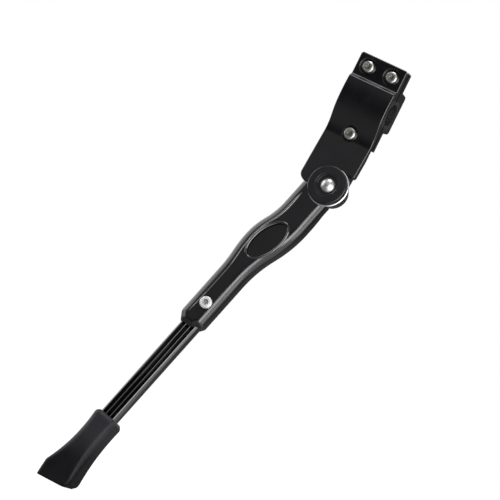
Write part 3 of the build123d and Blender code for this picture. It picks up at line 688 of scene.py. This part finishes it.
def ridge_strength(down):
    """The line is stronger near the hinge, by the distance down the leg."""
    share = min(1.0, max(0.0, (down - RIDGE_STRONG) / (RIDGE_FAINT - RIDGE_STRONG)))
    return RIDGE_STRENGTH[0] + (RIDGE_STRENGTH[1] - RIDGE_STRENGTH[0]) * share


def leg_bead(name, path, width, height, closed, paint):
    """A half-round bead along a path on the leg's front panel; an open one thins out at its ends."""
    points = []
    last = len(path) - 1
    section = BEAD_STEPS + 1
    for index, middle in enumerate(path):
        before = path[index - 1] if index or closed else path[0]
        after = path[(index + 1) % len(path)] if index < last or closed else path[last]
        tangent = (after - before).normalized()
        size = 1.0
        if not closed:
            size = min(1.0, BEAD_END + BEAD_GROW * min(index, last - index)) * ridge_strength(middle.y)
        for step in range(section):
            turn = math.pi * step / BEAD_STEPS
            side = math.cos(turn) * width / 2 * size
            rise = math.sin(turn) * (height + BEAD_SINK) * size - BEAD_SINK
            across = middle.x - tangent.y * side
            points.append(leg_place(across, PANEL_OUT + rise, middle.y + tangent.x * side))
    if closed:
        faces = ring_faces(0, section, len(path), closed=True)
    else:
        faces = tube_faces(0, section, len(path))
    smooth = [len(face) == 4 and index % section < BEAD_STEPS for index, face in enumerate(faces)]
    piece = add_mesh(name, points, faces, smooth, paint)
    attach(piece, "leg")


def cap_ring():
    """Bare steel ring that flares out at the rear edge of the cap."""
    side = HINGE_AXIS.cross(Vector((1, 0, 0))).normalized()
    over = HINGE_AXIS.cross(side)
    points = []
    for step in range(CAP_RING_STEPS):
        turn = 2 * math.pi * step / CAP_RING_STEPS
        radial = side * math.cos(turn) + over * math.sin(turn)
        points += [HINGE_POINT + radial * radius + HINGE_AXIS * out for radius, out in CAP_RING]
    faces = ring_faces(0, len(CAP_RING), CAP_RING_STEPS, closed=True)
    smooth = [index % len(CAP_RING) < CAP_RING_SMOOTH for index in range(len(faces))]
    piece = add_mesh("cap_ring", points, faces, smooth, steel("ring_steel", RING_STEEL))
    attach(piece, "base")


def picture_axes():
    """Right, up and back of the picture, in the object's frame."""
    right = Vector((math.cos(VIEW_AZIMUTH), math.sin(VIEW_AZIMUTH), 0))
    up = Vector((0, 0, 1))
    turned_right = right * math.cos(VIEW_ROLL) + up * math.sin(VIEW_ROLL)
    turned_up = up * math.cos(VIEW_ROLL) - right * math.sin(VIEW_ROLL)
    return turned_right, turned_up, turned_right.cross(turned_up)


def make_camera():
    """Camera of the photograph; gives back the point in the middle of its picture."""
    right, up, back = picture_axes()
    across = (IMAGE_PX / 2 - HINGE_PX[0]) * METRES_PER_PX
    down = (IMAGE_PX / 2 - HINGE_PX[1]) * METRES_PER_PX
    middle = HINGE_POINT + right * across - up * down
    data = bpy.data.cameras.new("photo_camera")
    data.sensor_width = SENSOR_MM
    data.lens = SENSOR_MM * CAMERA_DISTANCE / (IMAGE_PX * METRES_PER_PX)
    camera = add_object("photo_camera", data)
    camera.matrix_world = Matrix((right, up, back)).transposed().to_4x4()
    camera.location = middle + back * CAMERA_DISTANCE
    bpy.context.scene.camera = camera
    return middle


def blend_levels(tree, share, low, high):
    """Number between low and high, by a share from 0 to 1; either may be a socket."""
    node = add_node(tree, "ShaderNodeMix", data_type="FLOAT")
    tree.links.new(share, node.inputs[0])
    for socket, value in ((node.inputs[2], low), (node.inputs[3], high)):
        if isinstance(value, float):
            socket.default_value = value
        else:
            tree.links.new(value, socket)
    return node.outputs[0]


def ray_levels(tree, matt, mirrored, seen):
    """Level of light by what looks at it: matt surfaces, reflections or the camera."""
    path = add_node(tree, "ShaderNodeLightPath")
    level = blend_levels(tree, path.outputs["Is Glossy Ray"], matt, mirrored)
    for ray in ("Is Transmission Ray", "Is Camera Ray"):
        level = blend_levels(tree, path.outputs[ray], level, seen)
    return level


def studio_curve(tree, facing):
    """Light of the studio as reflections see it, by the cosine to the camera's direction."""
    studio = add_node(tree, "ShaderNodeFloatCurve")
    tree.links.new(spread(tree, facing, 0.0, 1.0, -1.0, 1.0), studio.inputs["Value"])
    curve = studio.mapping.curves[0]
    for cosine, light in STUDIO:
        curve.points.new((cosine + 1) / 2, light)
    curve.points[0].location = (0, STUDIO[0][1])
    curve.points[-1].location = (1, STUDIO[-1][1])
    for point in curve.points:
        point.handle_type = "VECTOR"
    studio.mapping.update()
    return studio.outputs["Value"]


def make_world():
    """White to the camera; reflections see a white backdrop in a dimmer studio."""
    world = bpy.data.worlds.new("studio")
    world.use_nodes = True
    tree = world.node_tree
    shader = tree.nodes["Background"]
    shader.inputs["Color"].default_value = (1, 1, 1, 1)
    direction = add_node(tree, "ShaderNodeTexCoord").outputs["Generated"]
    facing = add_node(tree, "ShaderNodeVectorMath", operation="DOT_PRODUCT")
    facing.inputs[1].default_value = picture_axes()[2]
    tree.links.new(direction, facing.inputs[0])
    studio = studio_curve(tree, facing.outputs["Value"])
    ceiling = spread(tree, split(tree, direction)["Z"], 0.0, CEILING, CEILING_LOW, CEILING_HIGH)
    mirrored = combine(tree, "ADD", studio, ceiling)
    tree.links.new(ray_levels(tree, AMBIENT, mirrored, WHITE), shader.inputs["Strength"])
    bpy.context.scene.world = world


def floor_white():
    """White to the camera; reflections see a dim floor with a painted pool of white light to the front
    right.
    """
    made, tree, shader = material("floor_white")
    tree.nodes.remove(shader)
    lit = add_node(tree, "ShaderNodeBsdfDiffuse")
    lit.inputs["Color"].default_value = (FLOOR_ALBEDO, FLOOR_ALBEDO, FLOOR_ALBEDO, 1)
    parts = split(tree, coordinates(tree))
    # painted pool of light on the floor, seen only in reflections
    beside = spread(tree, parts["X"], FLOOR_SHEEN, WHITE, POOL_START, POOL_FULL)
    ahead = spread(tree, parts["Y"], WHITE, FLOOR_SHEEN, POOL_AHEAD, POOL_BEHIND)
    mirrored = combine(tree, "MINIMUM", beside, ahead)
    glow = add_node(tree, "ShaderNodeEmission")
    tree.links.new(ray_levels(tree, 0.0, mirrored, FLOOR_GLOW), glow.inputs["Strength"])
    total = add_node(tree, "ShaderNodeAddShader")
    tree.links.new(lit.outputs["BSDF"], total.inputs[0])
    tree.links.new(glow.outputs["Emission"], total.inputs[1])
    tree.links.new(total.outputs["Shader"], tree.nodes["Material Output"].inputs["Surface"])
    return made


def make_floor():
    """Floor that the sole stands on; it keeps the shadow."""
    corners = ((-1, -1), (1, -1), (1, 1), (-1, 1))
    points = [(x * FLOOR_HALF, y * FLOOR_HALF, GROUND - FLOOR_GAP) for x, y in corners]
    floor = add_mesh("floor", points, [(0, 1, 2, 3)], [False], floor_white())


def softbox(target, name, direction, distance, size, power):
    """A rectangular lamp that shines on the target from a direction in the object's frame."""
    data = bpy.data.lights.new(name, "AREA")
    data.shape = "RECTANGLE"
    data.size, data.size_y = size
    data.energy = power
    lamp = add_object(name, data)
    toward = Vector(direction).normalized()
    lamp.location = target + toward * distance
    lamp.rotation_euler = toward.to_track_quat("Z", "Y").to_euler()


paint = cast_paint()
coat = gloss_bar()
rubber = foot_rubber()
plated = steel("bright_steel", PLATED_STEEL)
dress_nodes(paint, coat, rubber, plated)
groove_details(coat)
tail_threads(plated)
rubber_boot(rubber)
cap_ring()
beads = bead_paint()
leg_bead("ridge_bead", ridge_path(), RIDGE_W, RIDGE_H, False, beads)
leg_bead("oval_rim", oval_path(), OVAL_RIM_W, OVAL_RIM_H, True, beads)
picture_middle = make_camera()
make_world()
make_floor()
for lamp in LAMPS:
    softbox(picture_middle, *lamp)

bpy.context.scene.view_settings.view_transform = "Standard"
